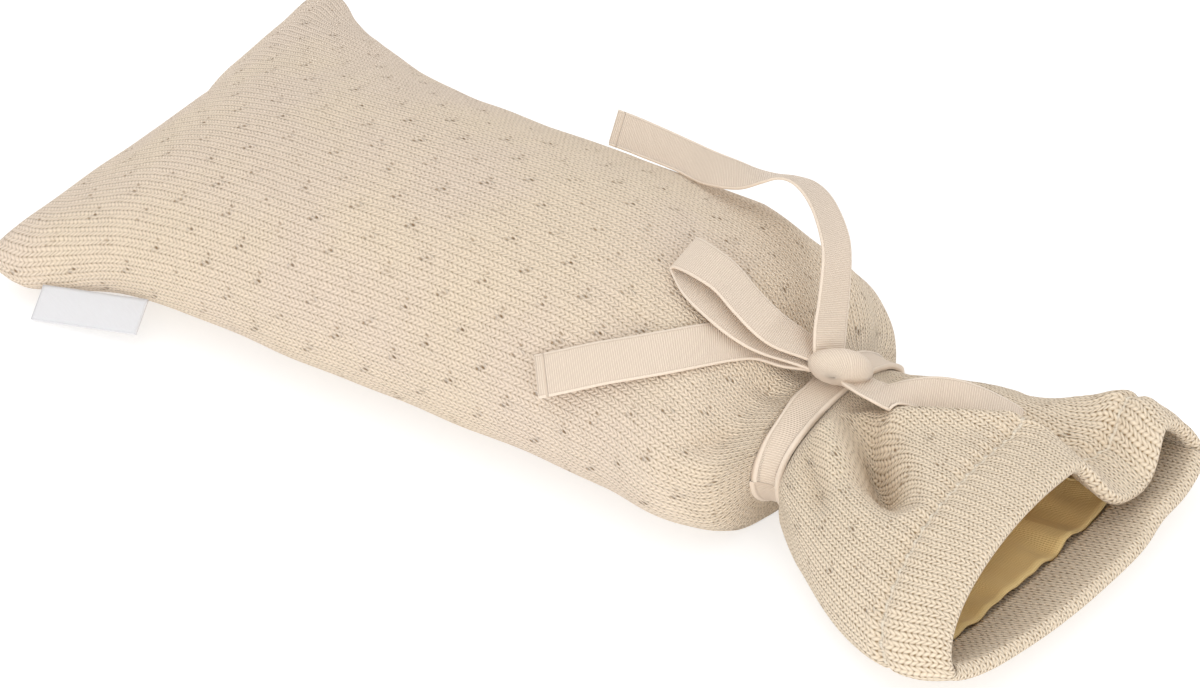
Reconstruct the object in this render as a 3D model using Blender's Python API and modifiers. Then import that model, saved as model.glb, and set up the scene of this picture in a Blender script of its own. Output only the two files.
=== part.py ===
"""Knitted cover for a hot water bottle, filled plump and lying flat.

The cover lies along X with its mouth at +X, its near side at -Y and its underside on z = 0.
Sizes are in millimetres and become metres when a mesh is made.
"""
import math

import bpy
import numpy as np
from mathutils import Vector
from mathutils.bvhtree import BVHTree

MM = 0.001

# Driving sizes, in millimetres
WALL = 2.5                 # one layer of knit
HEM_THICKNESS = 4.8        # two layers of knit at the mouth
HEM_DEPTH = 13.5           # how far the mouth is turned in
LIP_ANGLES = (30, 65, 90, 115, 150)   # degrees round the lip from its outside
LINING_THICKNESS = 1.0
SKIN_GAP = 0.35            # between the knit and what lies on it
SETTLE_SPARE = 0.2         # more room under a strand that is laid on the cloth
RIBBON_THICKNESS = 1.2
LABEL_LENGTH = 34.0
LABEL_DROP = 12.5
LABEL_THICKNESS = 1.4
TIE_X = 92.5               # middle of the tied neck
BAND_HALF = 6.0            # half of the neck that the ribbon covers
FREE_OF_BAND = 5.0         # creases reach their full depth this far from the ribbon
GATHER_START = 4.0         # and gathers this far
AROUND = 52                # points round a section
TRACE = 720                # finer points from which those are spaced evenly
EVEN_SLOPE = 2.5           # limit on the slope of a smooth table, in steps of its rows
INNER_START = 2            # first ring of the inside: the seam before it is solid cloth
NECK_RING = 22             # from here on the inside follows every ring of the outside
BAND_PLACES = (13.6, 15.6) # rows of the section table between which the ribbon binds the neck

# One row for each section of the cover, from the closed end to the mouth.
# x, y: middle of the section; half: half width; side, crown, floor: heights of the widest
# point, the top and the underside; top_power, low_power: roundness of the two halves;
# yaw, lean, roll: turns in degrees; bow: how far the middle stands forward; cuts: rings
# from this section to the next.
SECTION_COLUMNS = ("x", "y", "half", "side", "crown", "floor", "top_power", "low_power",
                   "yaw", "lean", "roll", "bow", "cuts")
SECTIONS = (
    (-204.5, 21.5, 84, 17, 20.0, 13.5, 2.0, 2.0, 3.5, 0, 2.5, 9, 1),
    (-203.5, 21.5, 92, 17, 23.5, 9.5, 2.6, 2.6, 3.5, 0, 2.5, 9, 1),
    (-199, 21, 96, 16, 29.0, 3.5, 3.0, 3.0, 3.5, 0, 2.5, 9, 1),
    (-190, 20, 95, 15, 34.5, 0.5, 2.8, 3.0, 3.5, 0, 2.5, 7, 2),
    (-174, 16.5, 86.5, 17, 43.0, -1.0, 2.3, 2.8, 3.0, 0, 2.0, 4, 2),
    (-150, 11, 76, 22, 53.0, -1.0, 2.1, 2.8, 2.0, 0, 1.0, 1, 2),
    (-118, 6, 69, 23, 61.0, -1.0, 2.0, 3.0, 0.0, 0, 0.0, 0, 2),
    (-80, 1, 65, 24, 67.0, -1.0, 2.0, 3.0, 0.0, 0, 0.0, 0, 2),
    (-35, 0, 63, 24, 69.0, -1.0, 2.0, 3.0, 0.0, 0, 0.0, 0, 2),
    (10, 0, 63, 24, 68.0, -1.0, 2.0, 3.0, 0.0, 0, 0.0, 0, 2),
    (42, -1, 63, 24, 63.0, -1.0, 2.0, 3.0, 0.0, 0, 0.0, 0, 2),
    (62, -2.5, 64.5, 23, 56.0, -1.0, 2.0, 3.0, 0.0, 0, 0.0, 0, 2),
    (75, -5, 60.5, 22, 48.5, -1.0, 2.0, 3.0, 0.0, 6, 0.0, 0, 3),
    (83.5, -5, 52, 20, 41.0, -1.0, 2.0, 3.0, 0.0, 11, 0.0, 0, 3),
    (88.5, -4.5, 38.5, 20, 37.0, 2.4, 2.0, 2.6, 0.0, 0, 0.0, 0, 2),
    (96.5, -4, 37.0, 20, 36.5, 2.2, 2.0, 2.6, 0.0, 0, 0.0, 0, 2),
    (102, -5, 41, 19, 37.5, 0.5, 2.0, 2.6, 0.0, 0, 0.0, 0, 2),
    (118, -8.5, 54, 15, 39.0, -1.0, 2.0, 2.6, 0.0, 0, 0.0, 0, 3),
    (134, -12.5, 62.5, 12, 39.0, -1.0, 2.0, 2.8, 0.0, 0, 0.0, 0, 4),
    (152, -13.5, 70.5, 11, 39.0, -1.0, 2.0, 2.8, 0.0, 0, 0.0, 0, 4),
    (169, -11, 78, 12, 38.0, 0.5, 2.0, 2.7, 0.0, 14, 0.0, 1, 4),
    (186, -8, 79, 14, 37.5, 6.5, 2.0, 2.4, 0.0, 29, 0.0, 6, 1),
)
MOUTH_X = 100.0            # sections past this bow only in their lower half
LIP_BLEND = 4.0            # height over which that bow fades out, each way

# Soft creases and swells of the cloth: name, line of points (x, y, z), half width of the
# crease and its depth at each point. A depth below zero is a swell.
CREASE_COLUMNS = ("name", "line", "spread", "depth")
CREASES = (
    ("mouth_valley", ((196, 24, 30), (180, 25, 30), (162, 34, 30), (146, 38, 30), (128, 40, 28)),
     11.0, (19, 17, 11, 5, 0)),
    ("far_lobe", ((186, 62, 22), (170, 60, 26), (150, 56, 28), (134, 48, 28)),
     11.0, (-5, -7, -6, -2)),
    ("pocket", ((103, -8, 34), (114, -15, 33), (124, -24, 34), (134, -34, 33), (146, -44, 30)),
     7.0, (5, 15, 14, 8, 0)),
    ("pocket_lobe", ((100, -28, 28), (112, -31, 29), (124, -36, 28)), 6.0, (-3, -3, 0)),
    ("slit", ((100, -33, 25), (106, -38, 24), (116, -46, 20), (128, -56, 16)), 5.0, (2, 4, 3, 0)),
    ("loop_groove", ((102, 0, 36), (112, 3, 36), (124, 7, 36), (138, 12, 35), (152, 20, 34)),
     7.5, (4, 9, 10, 8, 1)),
    ("loop_ridge", ((106, -13, 38), (120, -7, 39), (134, -1, 39), (150, 6, 39)),
     5.0, (-1, -4, -4, -1)),
    ("far_shoulder", ((30, 46, 50), (50, 37, 52), (68, 26, 46), (80, 18, 38)), 9.0, (0, 4, 5, 2)),
    ("near_shoulder", ((30, -52, 44), (55, -48, 40), (70, -43, 34), (80, -37, 30)),
     6.0, (0, 2, 4, 2)),
)

# Gathers that run out from the tie: place round the section (0 is the middle of the
# underside, a quarter is the near side), spread, depth, and reach on each side of the tie
GATHER_COLUMNS = ("around", "spread", "depth", "body_reach", "mouth_reach")
GATHERS = (
    (0.06, 0.020, 2.5, 26, 34),
    (0.15, 0.018, 2.2, 20, 26),
    (0.25, 0.016, 1.8, 16, 20),
    (0.40, 0.018, 1.8, 24, 12),
    (0.50, 0.020, 2.2, 30, 10),
    (0.62, 0.020, 2.5, 22, 30),
    (0.70, 0.018, 3.0, 30, 40),
    (0.79, 0.020, 2.6, 24, 34),
    (0.88, 0.020, 3.0, 28, 42),
    (0.97, 0.018, 2.2, 22, 30),
)

# The ribbon's strands: x, y, z of the middle of the ribbon, the turn (yaw) and rise (tilt)
# of the line across it in degrees, and its width there
LEFT_LOOP = (
    (96, -2, 45.0, 95, 8, 9),
    (83, -5.5, 49.5, 95, 8, 13),
    (70, -8, 56.5, 95, 8, 15),
    (59, -8, 62.5, 95, 8, 15),
    (50, -8, 66.8, 95, 8, 15),
    (44, -8, 68.8, 95, 14, 15),
    (41, -9.5, 67.2, 95, 20, 15),
    (43, -11.5, 64.9, 93, 22, 15),
    (51, -13.5, 62.6, 90, 16, 15),
    (61, -15, 58.8, 86, 12, 15),
    (72, -13, 52.2, 86, 10, 15),
    (83, -8, 45.5, 90, 6, 12),
    (95, -4, 40.8, 92, 4, 9),
)
RIGHT_LOOP = (
    (90, -5, 44.0, 90, 20, 8),
    (103, -1, 42.5, 100, 28, 12),
    (114, 2, 37.5, 108, 37, 15),
    (123, 5, 36.8, 108, 37, 15),
    (132, 9, 36.4, 110, 38, 15),
    (138, 12, 35.8, 112, 36, 14),
    (142, 14, 34.4, 114, 36, 13),
    (142, 17.5, 33.0, 116, 36, 13),
    (137, 18, 33.0, 114, 38, 14),
    (128, 13, 33.6, 112, 38, 15),
    (115, 8, 34.5, 108, 36, 14),
    (104, 3, 38.5, 104, 28, 11),
    (92, 0, 40.5, 95, 20, 8),
)
FAR_TAIL = (
    (96, -3, 43.0, 36, 0, 9),
    (88, -1, 46.5, 36, 0, 12),
    (84, 4, 53.0, 38, 0, 15),
    (80, 14, 63.0, 40, -2, 15),
    (71, 24, 72.5, 50, -6, 15),
    (58, 35, 73.5, 82, -16, 15),
    (42, 45, 66.5, 116, -14, 15),
    (26, 52.5, 59.0, 100, 34, 15),
    (7, 59.5, 53.5, 92, 56, 15),
    (-16, 62, 52.5, 90, 60, 15),
    (-40, 62.5, 52.0, 90, 60, 15),
)
NEAR_TAIL = (
    (96, -2, 42.0, 110, 6, 9),
    (88, -6, 43.5, 115, 12, 12),
    (80, -11, 47.5, 124, 24, 15),
    (70.5, -24, 53.0, 134, 30, 15),
    (58.5, -37.8, 54.4, 134, 26, 15),
    (42.2, -49.9, 51.0, 132, 35, 15),
    (30, -56, 46.5, 135, 42, 15),
    (19.6, -60, 41.6, 138, 48, 15),
)
STRANDS = (("near_tail", NEAR_TAIL), ("left_loop", LEFT_LOOP), ("right_loop", RIGHT_LOOP),
           ("far_tail", FAR_TAIL))
STRAND_STEPS = 3           # cuts from one row to the next
STRAND_ACROSS = 5          # points across a strand
KNOT_MIDDLE = (93.5, -3, 43.7)
KNOT_HALF = (8.5, 10.0, 6.5)
KNOT_TURN = 35.0
KNOT_AROUND = 16
KNOT_RINGS = 8
KNOT_POLE = 78.0           # the rings stop at this angle from the knot's waist

# The folded label, sewn in at the near side close to the closed end
LABEL_START_X = -171.0
LABEL_HEIGHTS = (10.0, 14.0)   # of the two ends of its sewn edge
LABEL_DROOP = 44.0         # degrees below level
LABEL_CLEAR = 0.95         # from the cover to the middle of the label's sewn edge
LABEL_PARTS = 5            # points along the label
NEAR_OF_ALL = -200.0       # y beyond the near side of everything

COLOURS = {
    "knit": (0.72, 0.58, 0.43),
    "lining": (0.42, 0.31, 0.17),
    "ribbon": (0.74, 0.60, 0.47),
    "label": (0.88, 0.88, 0.89),
}


def remove_scene_objects():
    for thing in list(bpy.data.objects):
        bpy.data.objects.remove(thing, do_unlink=True)


def part_collection(name):
    collection = bpy.data.collections.new(name)
    bpy.context.scene.collection.children.link(collection)
    return collection


def cloth_material(name, colour, roughness=0.95):
    material = bpy.data.materials.new(name)
    material.use_nodes = True
    principled = material.node_tree.nodes["Principled BSDF"]
    principled.inputs["Base Color"].default_value = (*colour, 1.0)
    principled.inputs["Roughness"].default_value = roughness
    principled.inputs["Metallic"].default_value = 0.0
    return material


def between_rows(rows, places):
    """Smooth values of a table between its rows, without overshoot."""
    table = np.array(rows, float)
    last = len(table) - 1
    step = np.diff(table, axis=0)
    slope = np.zeros_like(table)
    slope[0] = step[0]
    slope[-1] = step[-1]
    same_way = step[1:] * step[:-1] > 0
    gentle = np.minimum(abs(step[1:] + step[:-1]) / 2,
                        EVEN_SLOPE * np.minimum(abs(step[1:]), abs(step[:-1])))
    slope[1:-1] = np.where(same_way, np.sign(step[1:]) * gentle, 0.0)
    places = np.clip(np.asarray(places, float), 0, last)
    row = np.minimum(places.astype(int), last - 1)
    part = (places - row)[:, None]
    low, high = table[row], table[row + 1]
    rise = part * part * (3 - 2 * part)
    start = part * (1 - part) ** 2
    end = part * part * (part - 1)
    return low + rise * (high - low) + start * slope[row] + end * slope[row + 1]


def section_ring(values):
    """Points round one section, evenly spaced, from the middle of its underside."""
    row = dict(zip(SECTION_COLUMNS, values))
    angle = np.linspace(-math.pi / 2, 1.5 * math.pi, TRACE + 1)
    across, up = np.cos(angle), np.sin(angle)
    power = np.where(up > 0, row["top_power"], row["low_power"])
    height = np.where(up > 0, row["crown"] - row["side"], row["side"] - row["floor"])
    y = -row["half"] * np.sign(across) * abs(across) ** (2 / power)
    z = row["side"] + height * np.sign(up) * abs(up) ** (2 / power)
    length = np.append(0, np.cumsum(np.hypot(np.diff(y), np.diff(z))))
    even = np.linspace(0, length[-1], AROUND, endpoint=False)
    y = np.interp(even, length, y)
    z = np.interp(even, length, z)
    below = np.clip((row["side"] - z) / (2 * LIP_BLEND) + 0.5, 0, 1)
    lower = below if row["x"] > MOUTH_X else 1.0
    x = row["x"] + row["bow"] * (1 - (y / row["half"]) ** 2) * lower
    x = x - math.tan(math.radians(row["yaw"])) * y
    x = x - math.tan(math.radians(row["lean"])) * (z - row["side"])
    z = z + math.tan(math.radians(row["roll"])) * y
    return np.stack([x, y + row["y"], z], axis=-1)


def ring_normals(rings):
    along = np.gradient(rings, axis=0)
    around = np.roll(rings, -1, axis=1) - np.roll(rings, 1, axis=1)
    normal = np.cross(along, around)
    return normal / np.linalg.norm(normal, axis=-1, keepdims=True)


def distance_to_line(points, line):
    """Distance from each point to a line of points, and the place along it."""
    nearest = np.full(points.shape[:-1], np.inf)
    place = np.zeros(points.shape[:-1])
    for index in range(len(line) - 1):
        start = np.array(line[index], float)
        leg = np.array(line[index + 1], float) - start
        part = np.clip((points - start) @ leg / (leg @ leg), 0, 1)
        distance = np.linalg.norm(points - start - part[..., None] * leg, axis=-1)
        closer = distance < nearest
        nearest = np.where(closer, distance, nearest)
        place = np.where(closer, index + part, place)
    return nearest, place


def gathered(rings):
    """Depth of the gathers at each point of the rings."""
    around = np.arange(AROUND) / AROUND
    x = rings[..., 0]
    depth = np.zeros(rings.shape[:2])
    for values in GATHERS:
        gather = dict(zip(GATHER_COLUMNS, values))
        away = (around - gather["around"] + 0.5) % 1 - 0.5
        reach = np.where(x < TIE_X, gather["body_reach"], gather["mouth_reach"])
        past = np.maximum(abs(x - TIE_X) - BAND_HALF, 0)
        swell = np.minimum(past / GATHER_START, 1) * np.exp(-(past / reach) ** 2)
        depth += gather["depth"] * swell * np.exp(-0.5 * (away / gather["spread"]) ** 2)
    return depth


def creased(rings):
    """The rings with the creases, swells and gathers of the cloth pressed in.

    None of them is pressed in under the ribbon, which keeps the neck round.
    """
    depth = gathered(rings)
    free = np.clip((abs(rings[..., 0] - TIE_X) - BAND_HALF) / FREE_OF_BAND, 0, 1)
    for values in CREASES:
        crease = dict(zip(CREASE_COLUMNS, values))
        distance, place = distance_to_line(rings, crease["line"])
        reach = np.interp(place, range(len(crease["depth"])), crease["depth"])
        depth = depth + free * reach * np.exp(-0.5 * (distance / crease["spread"]) ** 2)
    return rings - depth[..., None] * ring_normals(rings)


def cover_places():
    """Places in the section table at which the cover has a ring."""
    places = []
    for index, values in enumerate(SECTIONS[:-1]):
        cuts = values[-1]
        places.extend(index + cut / cuts for cut in range(cuts))
    places.append(len(SECTIONS) - 1)
    return places


def cover_rings():
    rings = np.array([section_ring(row) for row in between_rows(SECTIONS, cover_places())])
    rings = creased(rings)
    rings[..., 2] = np.maximum(rings[..., 2], 0)
    return rings


def inset(rings, depth):
    """The rings moved inwards by a depth, kept level over a flat underside."""
    moved = rings - depth * ring_normals(rings)
    lowest = rings[..., 2].min(axis=1, keepdims=True) + depth
    moved[..., 2] = np.maximum(moved[..., 2], lowest)
    return moved


def place_after(rings, start, distance):
    """Index of the first ring whose mean x lies a distance behind ring start."""
    middle = rings[..., 0].mean(axis=1)
    return int(np.argmin(abs(middle - (middle[start] - distance))))


def loft_faces(rings, turned_from=None):
    """Triangles between closed rings of equal count.

    Rings from turned_from on run back towards the closed end. Their squares are split along
    the same diagonal as the squares outside them, so the two layers stay parallel.
    """
    count = rings.shape[1]
    turned_from = len(rings) if turned_from is None else turned_from
    faces = []
    for ring in range(len(rings) - 1):
        for point in range(count):
            after = (point + 1) % count
            a = ring * count + point
            b = ring * count + after
            c = a + count
            d = b + count
            faces += [(a, c, b), (b, c, d)] if ring >= turned_from else [(a, c, d), (a, d, b)]
    return faces


def pinch_faces(ring, count, flip):
    """Triangles that close a ring from its near tip to its far tip."""
    first = ring * count
    near_tip = count // 4
    faces = []
    for step in range(count // 2):
        low = first + (near_tip - step) % count
        low_after = first + (near_tip - step - 1) % count
        high = first + (near_tip + step) % count
        high_after = first + (near_tip + step + 1) % count
        if step > 0:
            faces.append((low, high, high_after))
        if step < count // 2 - 1:
            faces.append((low, high_after, low_after))
    return [face[::-1] for face in faces] if flip else faces


def mesh_object(name, points, faces, material, collection):
    mesh = bpy.data.meshes.new(name)
    mesh.from_pydata((np.asarray(points) * MM).tolist(), [], faces)
    mesh.validate()
    mesh.materials.append(material)
    mesh.shade_smooth()
    thing = bpy.data.objects.new(name, mesh)
    collection.objects.link(thing)
    return thing


def rim_rings(outer, inner):
    """A round lip between the last outer ring and the inner ring beside it."""
    middle = (outer + inner) / 2
    across = (outer - inner) / 2
    radius = np.linalg.norm(across, axis=-1, keepdims=True)
    forward = np.zeros_like(outer)
    forward[:, 0] = 1.0
    lip = []
    for angle in LIP_ANGLES:
        turn = math.radians(angle)
        lip.append(middle + across * math.cos(turn) + forward * radius * math.sin(turn))
    return np.array(lip)


def make_cover(outer, material, collection):
    """The knitted pouch: one hollow body with its mouth turned in."""
    last = len(outer) - 1
    hem_end = place_after(outer, last, HEM_DEPTH)
    hem = inset(outer, HEM_THICKNESS)[hem_end:][::-1]
    inside = inset(outer, WALL)
    body = inside[INNER_START:NECK_RING:2]
    inside = np.concatenate([body, inside[NECK_RING:hem_end + 1]])[::-1]
    lip = rim_rings(outer[-1], hem[0])
    rings = np.concatenate([outer, lip, hem, inside])
    faces = loft_faces(rings, len(outer) + len(lip))
    faces += pinch_faces(0, AROUND, False)
    faces += pinch_faces(len(rings) - 1, AROUND, True)
    return mesh_object("knit_cover", rings.reshape(-1, 3), faces, material, collection)


def make_lining(outer, material, collection):
    """The woven sleeve that shows in the mouth, from the hem's inner edge into the neck."""
    last = len(outer) - 1
    hem_end = place_after(outer, last, HEM_DEPTH)
    neck = place_after(outer, 0, outer[0, :, 0].mean() - TIE_X)
    skin = WALL + SKIN_GAP
    facing = inset(outer, skin)[neck:hem_end + 1]
    back = inset(outer, skin + LINING_THICKNESS)[neck:hem_end + 1][::-1]
    for sleeve in (facing, back):
        edge = 0 if sleeve is back else -1
        beside = 1 if sleeve is back else -2
        leg = sleeve[beside] - sleeve[edge]
        sleeve[edge] += leg / np.linalg.norm(leg, axis=-1, keepdims=True) * SKIN_GAP
    rings = np.concatenate([facing, back, facing[:1]])
    count = len(facing) * 2
    faces = loft_faces(rings, len(facing))
    faces = [tuple(index % (count * AROUND) for index in face) for face in faces]
    return mesh_object("mouth_lining", rings[:-1].reshape(-1, 3), faces, material, collection)


def smooth_route(rows, steps):
    """Values on a smooth curve through the rows of a route."""
    table = np.array(rows, float)
    last = len(table) - 1
    places = np.linspace(0, last, last * steps + 1)
    row = np.minimum(places.astype(int), last - 1)
    part = (places - row)[:, None]
    here, there = table[row], table[row + 1]
    start = (there - table[np.maximum(row - 1, 0)]) / 2
    end = (table[np.minimum(row + 2, last)] - here) / 2
    rise = part * part * (3 - 2 * part)
    return (here + rise * (there - here) + part * (1 - part) ** 2 * start
            + part * part * (part - 1) * end)


def ribbon_points(rows, steps, across):
    """A grid of points on the middle surface of a strand."""
    route = smooth_route(rows, steps)
    middle, wide = route[:, :3], route[:, 5]
    yaw, tilt = np.radians(route[:, 3]), np.radians(route[:, 4])
    side = np.stack([np.cos(tilt) * np.cos(yaw), np.cos(tilt) * np.sin(yaw), np.sin(tilt)], axis=1)
    along = np.gradient(middle, axis=0)
    along /= np.linalg.norm(along, axis=1, keepdims=True)
    side = side - (side * along).sum(axis=1, keepdims=True) * along
    side /= np.linalg.norm(side, axis=1, keepdims=True)
    reach = np.linspace(-0.5, 0.5, across)[None, :, None] * wide[:, None, None]
    return middle[:, None, :] + reach * side[:, None, :]


def settled(points, cloth, clearance):
    """The points moved out of the cloth, to lie at least a clearance above it."""
    moved = points.copy()
    for place in np.ndindex(points.shape[:2]):
        here = Vector(points[place])
        spot, normal, _, _ = cloth.find_nearest(here)
        above = (here - spot).dot(normal)
        if above < clearance:
            moved[place] = here + normal * (clearance - above)
    return moved


def grid_faces(rows, columns):
    faces = []
    for row in range(rows - 1):
        for column in range(columns - 1):
            corner = row * columns + column
            faces.append((corner, corner + 1, corner + columns + 1, corner + columns))
    return faces


def strand_solid(name, rows, cloth, material, collection):
    points = ribbon_points(rows, STRAND_STEPS, STRAND_ACROSS)
    points = settled(points, cloth, RIBBON_THICKNESS / 2 + SKIN_GAP + SETTLE_SPARE)
    faces = grid_faces(*points.shape[:2])
    strand = mesh_object(name, points.reshape(-1, 3), faces, material, collection)
    solidify = strand.modifiers.new("thickness", "SOLIDIFY")
    solidify.thickness = RIBBON_THICKNESS * MM
    solidify.offset = 0.0
    return strand


def band_solid(outer, material, collection):
    """The ribbon round the neck."""
    places = np.array(cover_places())
    bound = (places > BAND_PLACES[0]) & (places < BAND_PLACES[1])
    facing = inset(outer, -SKIN_GAP - RIBBON_THICKNESS)[bound]
    facing[..., 2] = np.maximum(facing[..., 2], 0)
    back = inset(outer, -SKIN_GAP)[bound][::-1]
    rings = np.concatenate([facing, back, facing[:1]])
    total = (len(rings) - 1) * AROUND
    faces = loft_faces(rings, len(facing))
    faces = [tuple(index % total for index in face) for face in faces]
    return mesh_object("ribbon_tie", rings[:-1].reshape(-1, 3), faces, material, collection)


def knot_solid(material, collection):
    """The wrapped middle of the bow."""
    turn = math.radians(KNOT_TURN)
    rings = []
    for rise in np.radians(np.linspace(-KNOT_POLE, KNOT_POLE, KNOT_RINGS)):
        angle = np.linspace(0, -2 * math.pi, KNOT_AROUND, endpoint=False)
        long = KNOT_HALF[0] * math.cos(rise) * np.cos(angle)
        wide = KNOT_HALF[1] * math.cos(rise) * np.sin(angle)
        rings.append(np.stack([long * math.cos(turn) - wide * math.sin(turn),
                               long * math.sin(turn) + wide * math.cos(turn),
                               np.full(KNOT_AROUND, KNOT_HALF[2] * math.sin(rise))], axis=1))
    rings = np.array(rings) + KNOT_MIDDLE
    last = (KNOT_RINGS - 1) * KNOT_AROUND
    faces = loft_faces(rings)
    faces.append(tuple(range(KNOT_AROUND)))
    faces.append(tuple(range(last, last + KNOT_AROUND))[::-1])
    return mesh_object("knot", rings.reshape(-1, 3), faces, material, collection)


def join_by_union(body, pieces):
    """Fuse each piece into the body, leaving one closed solid."""
    for piece in pieces:
        union = body.modifiers.new(piece.name, "BOOLEAN")
        union.operation = "UNION"
        union.solver = "EXACT"
        union.object = piece
        piece.hide_render = True
        piece.display_type = "WIRE"


def cover_surface(outer):
    return BVHTree.FromPolygons(outer.reshape(-1, 3).tolist(), loft_faces(outer))


def make_tie(outer, material, collection, joined):
    """One ribbon: round the neck, knotted into two loops with two free tails."""
    cloth = cover_surface(outer)
    tie = band_solid(outer, material, collection)
    pieces = [knot_solid(material, joined)]
    for name, rows in STRANDS:
        pieces.append(strand_solid(name, rows, cloth, material, joined))
    join_by_union(tie, pieces)
    return tie


def make_label(outer, material, collection):
    """A bare folded strip that hangs from the near side."""
    cloth = cover_surface(outer)
    droop = math.radians(LABEL_DROOP)
    sewn = []
    for x, z in zip((LABEL_START_X, LABEL_START_X + LABEL_LENGTH), LABEL_HEIGHTS):
        aside = Vector((x, NEAR_OF_ALL, z))
        spot = cloth.ray_cast(aside, Vector((0, 1, 0)))[0]
        sewn.append(np.array(spot) - (0, LABEL_CLEAR, 0))
    along = (sewn[1] - sewn[0]) / np.linalg.norm(sewn[1] - sewn[0])
    out = np.array([along[1], -along[0], 0.0])
    down = out * math.cos(droop) + np.array([0, 0, -math.sin(droop)])
    points = np.array([[sewn[0] + along * LABEL_LENGTH * part + down * LABEL_DROP * drop
                        for drop in (0, 0.5, 1)] for part in np.linspace(0, 1, LABEL_PARTS)])
    faces = grid_faces(*points.shape[:2])
    label = mesh_object("side_label", points.reshape(-1, 3), faces, material, collection)
    solidify = label.modifiers.new("thickness", "SOLIDIFY")
    solidify.thickness = LABEL_THICKNESS * MM
    solidify.offset = 0.0
    return label


def main():
    remove_scene_objects()
    collection = part_collection("hot_water_bottle_cover")
    joined = part_collection("joined_strands")
    finish = {name: cloth_material(name, colour) for name, colour in COLOURS.items()}
    outer = cover_rings()
    make_cover(outer, finish["knit"], collection)
    make_lining(outer, finish["lining"], collection)
    make_tie(outer, finish["ribbon"], collection, joined)
    make_label(outer, finish["label"], collection)


main()
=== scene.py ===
"""Looks of the knitted hot water bottle cover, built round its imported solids.

Sizes are in millimetres, in the frame of the solids, and become metres when a mesh is made.
"""

import math

import bpy
import numpy as np
from mathutils import Matrix, Vector, noise
from mathutils.bvhtree import BVHTree

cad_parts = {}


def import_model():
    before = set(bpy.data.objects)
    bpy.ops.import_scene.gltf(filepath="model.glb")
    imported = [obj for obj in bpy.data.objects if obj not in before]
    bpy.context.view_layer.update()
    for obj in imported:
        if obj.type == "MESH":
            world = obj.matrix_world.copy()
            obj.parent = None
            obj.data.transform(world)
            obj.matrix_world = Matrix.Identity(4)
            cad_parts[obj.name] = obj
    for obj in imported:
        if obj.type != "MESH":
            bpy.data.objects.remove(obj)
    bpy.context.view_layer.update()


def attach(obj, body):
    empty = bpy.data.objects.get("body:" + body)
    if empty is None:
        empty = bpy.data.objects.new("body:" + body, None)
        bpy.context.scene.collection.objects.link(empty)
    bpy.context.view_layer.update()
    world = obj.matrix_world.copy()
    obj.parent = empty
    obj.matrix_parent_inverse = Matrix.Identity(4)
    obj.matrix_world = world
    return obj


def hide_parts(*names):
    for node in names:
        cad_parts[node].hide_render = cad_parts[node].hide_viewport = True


MM = 0.001

# Camera of the photograph
CAMERA_AZIMUTH = 35.9
CAMERA_ELEVATION = 33.0
CAMERA_DISTANCE = 1.6
CAMERA_TARGET = (0.0, 0.0, 0.0138)
CAMERA_LENS = 148.8
CAMERA_SENSOR = 36.0
CAMERA_REACH = 20.0

# Cloth, in millimetres
WALL = 2.5
HEM_THICKNESS = 4.8
HEM_DEPTH = 13.5
LINING_THICKNESS = 0.8
LINING_RUMPLE = 2.4
RUMPLE_LENGTH = 30.0       # of the lining's rumples, along the cover and round it
RUMPLE_WIDTH = 9.0
LINING_ROUND = 330.0       # once round the flat lining
LINING_STEP = 2            # rings of the cover for each ring of the lining
SKIN_GAP = 0.35
TIE_X = 92.5
BAND_HALF = 6.0
FREE_OF_BAND = 5.0
GATHER_START = 4.0
MOUTH_X = 100.0
LIP_BLEND = 4.0

# Knit
WALES = 114                # columns of stitches round the cover
COURSE = 1.73              # length of one stitch along its column
AROUND = 285               # points round the cover
BODY_STEP = 2.2            # length between rings of the body
MOUTH_STEP = 1.1           # and of the frill
FINE_REACH = 30.0          # the finer steps start this far behind the tie
INNER_START = 4            # ring beside which the inside's closed end lies
INNER_STEP = 3             # rings of the outside for each ring of the inside
LIP_TURN = 18              # degrees between the rings of the round lip
TRACE = 1440
EVEN_SLOPE = 2.5

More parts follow.
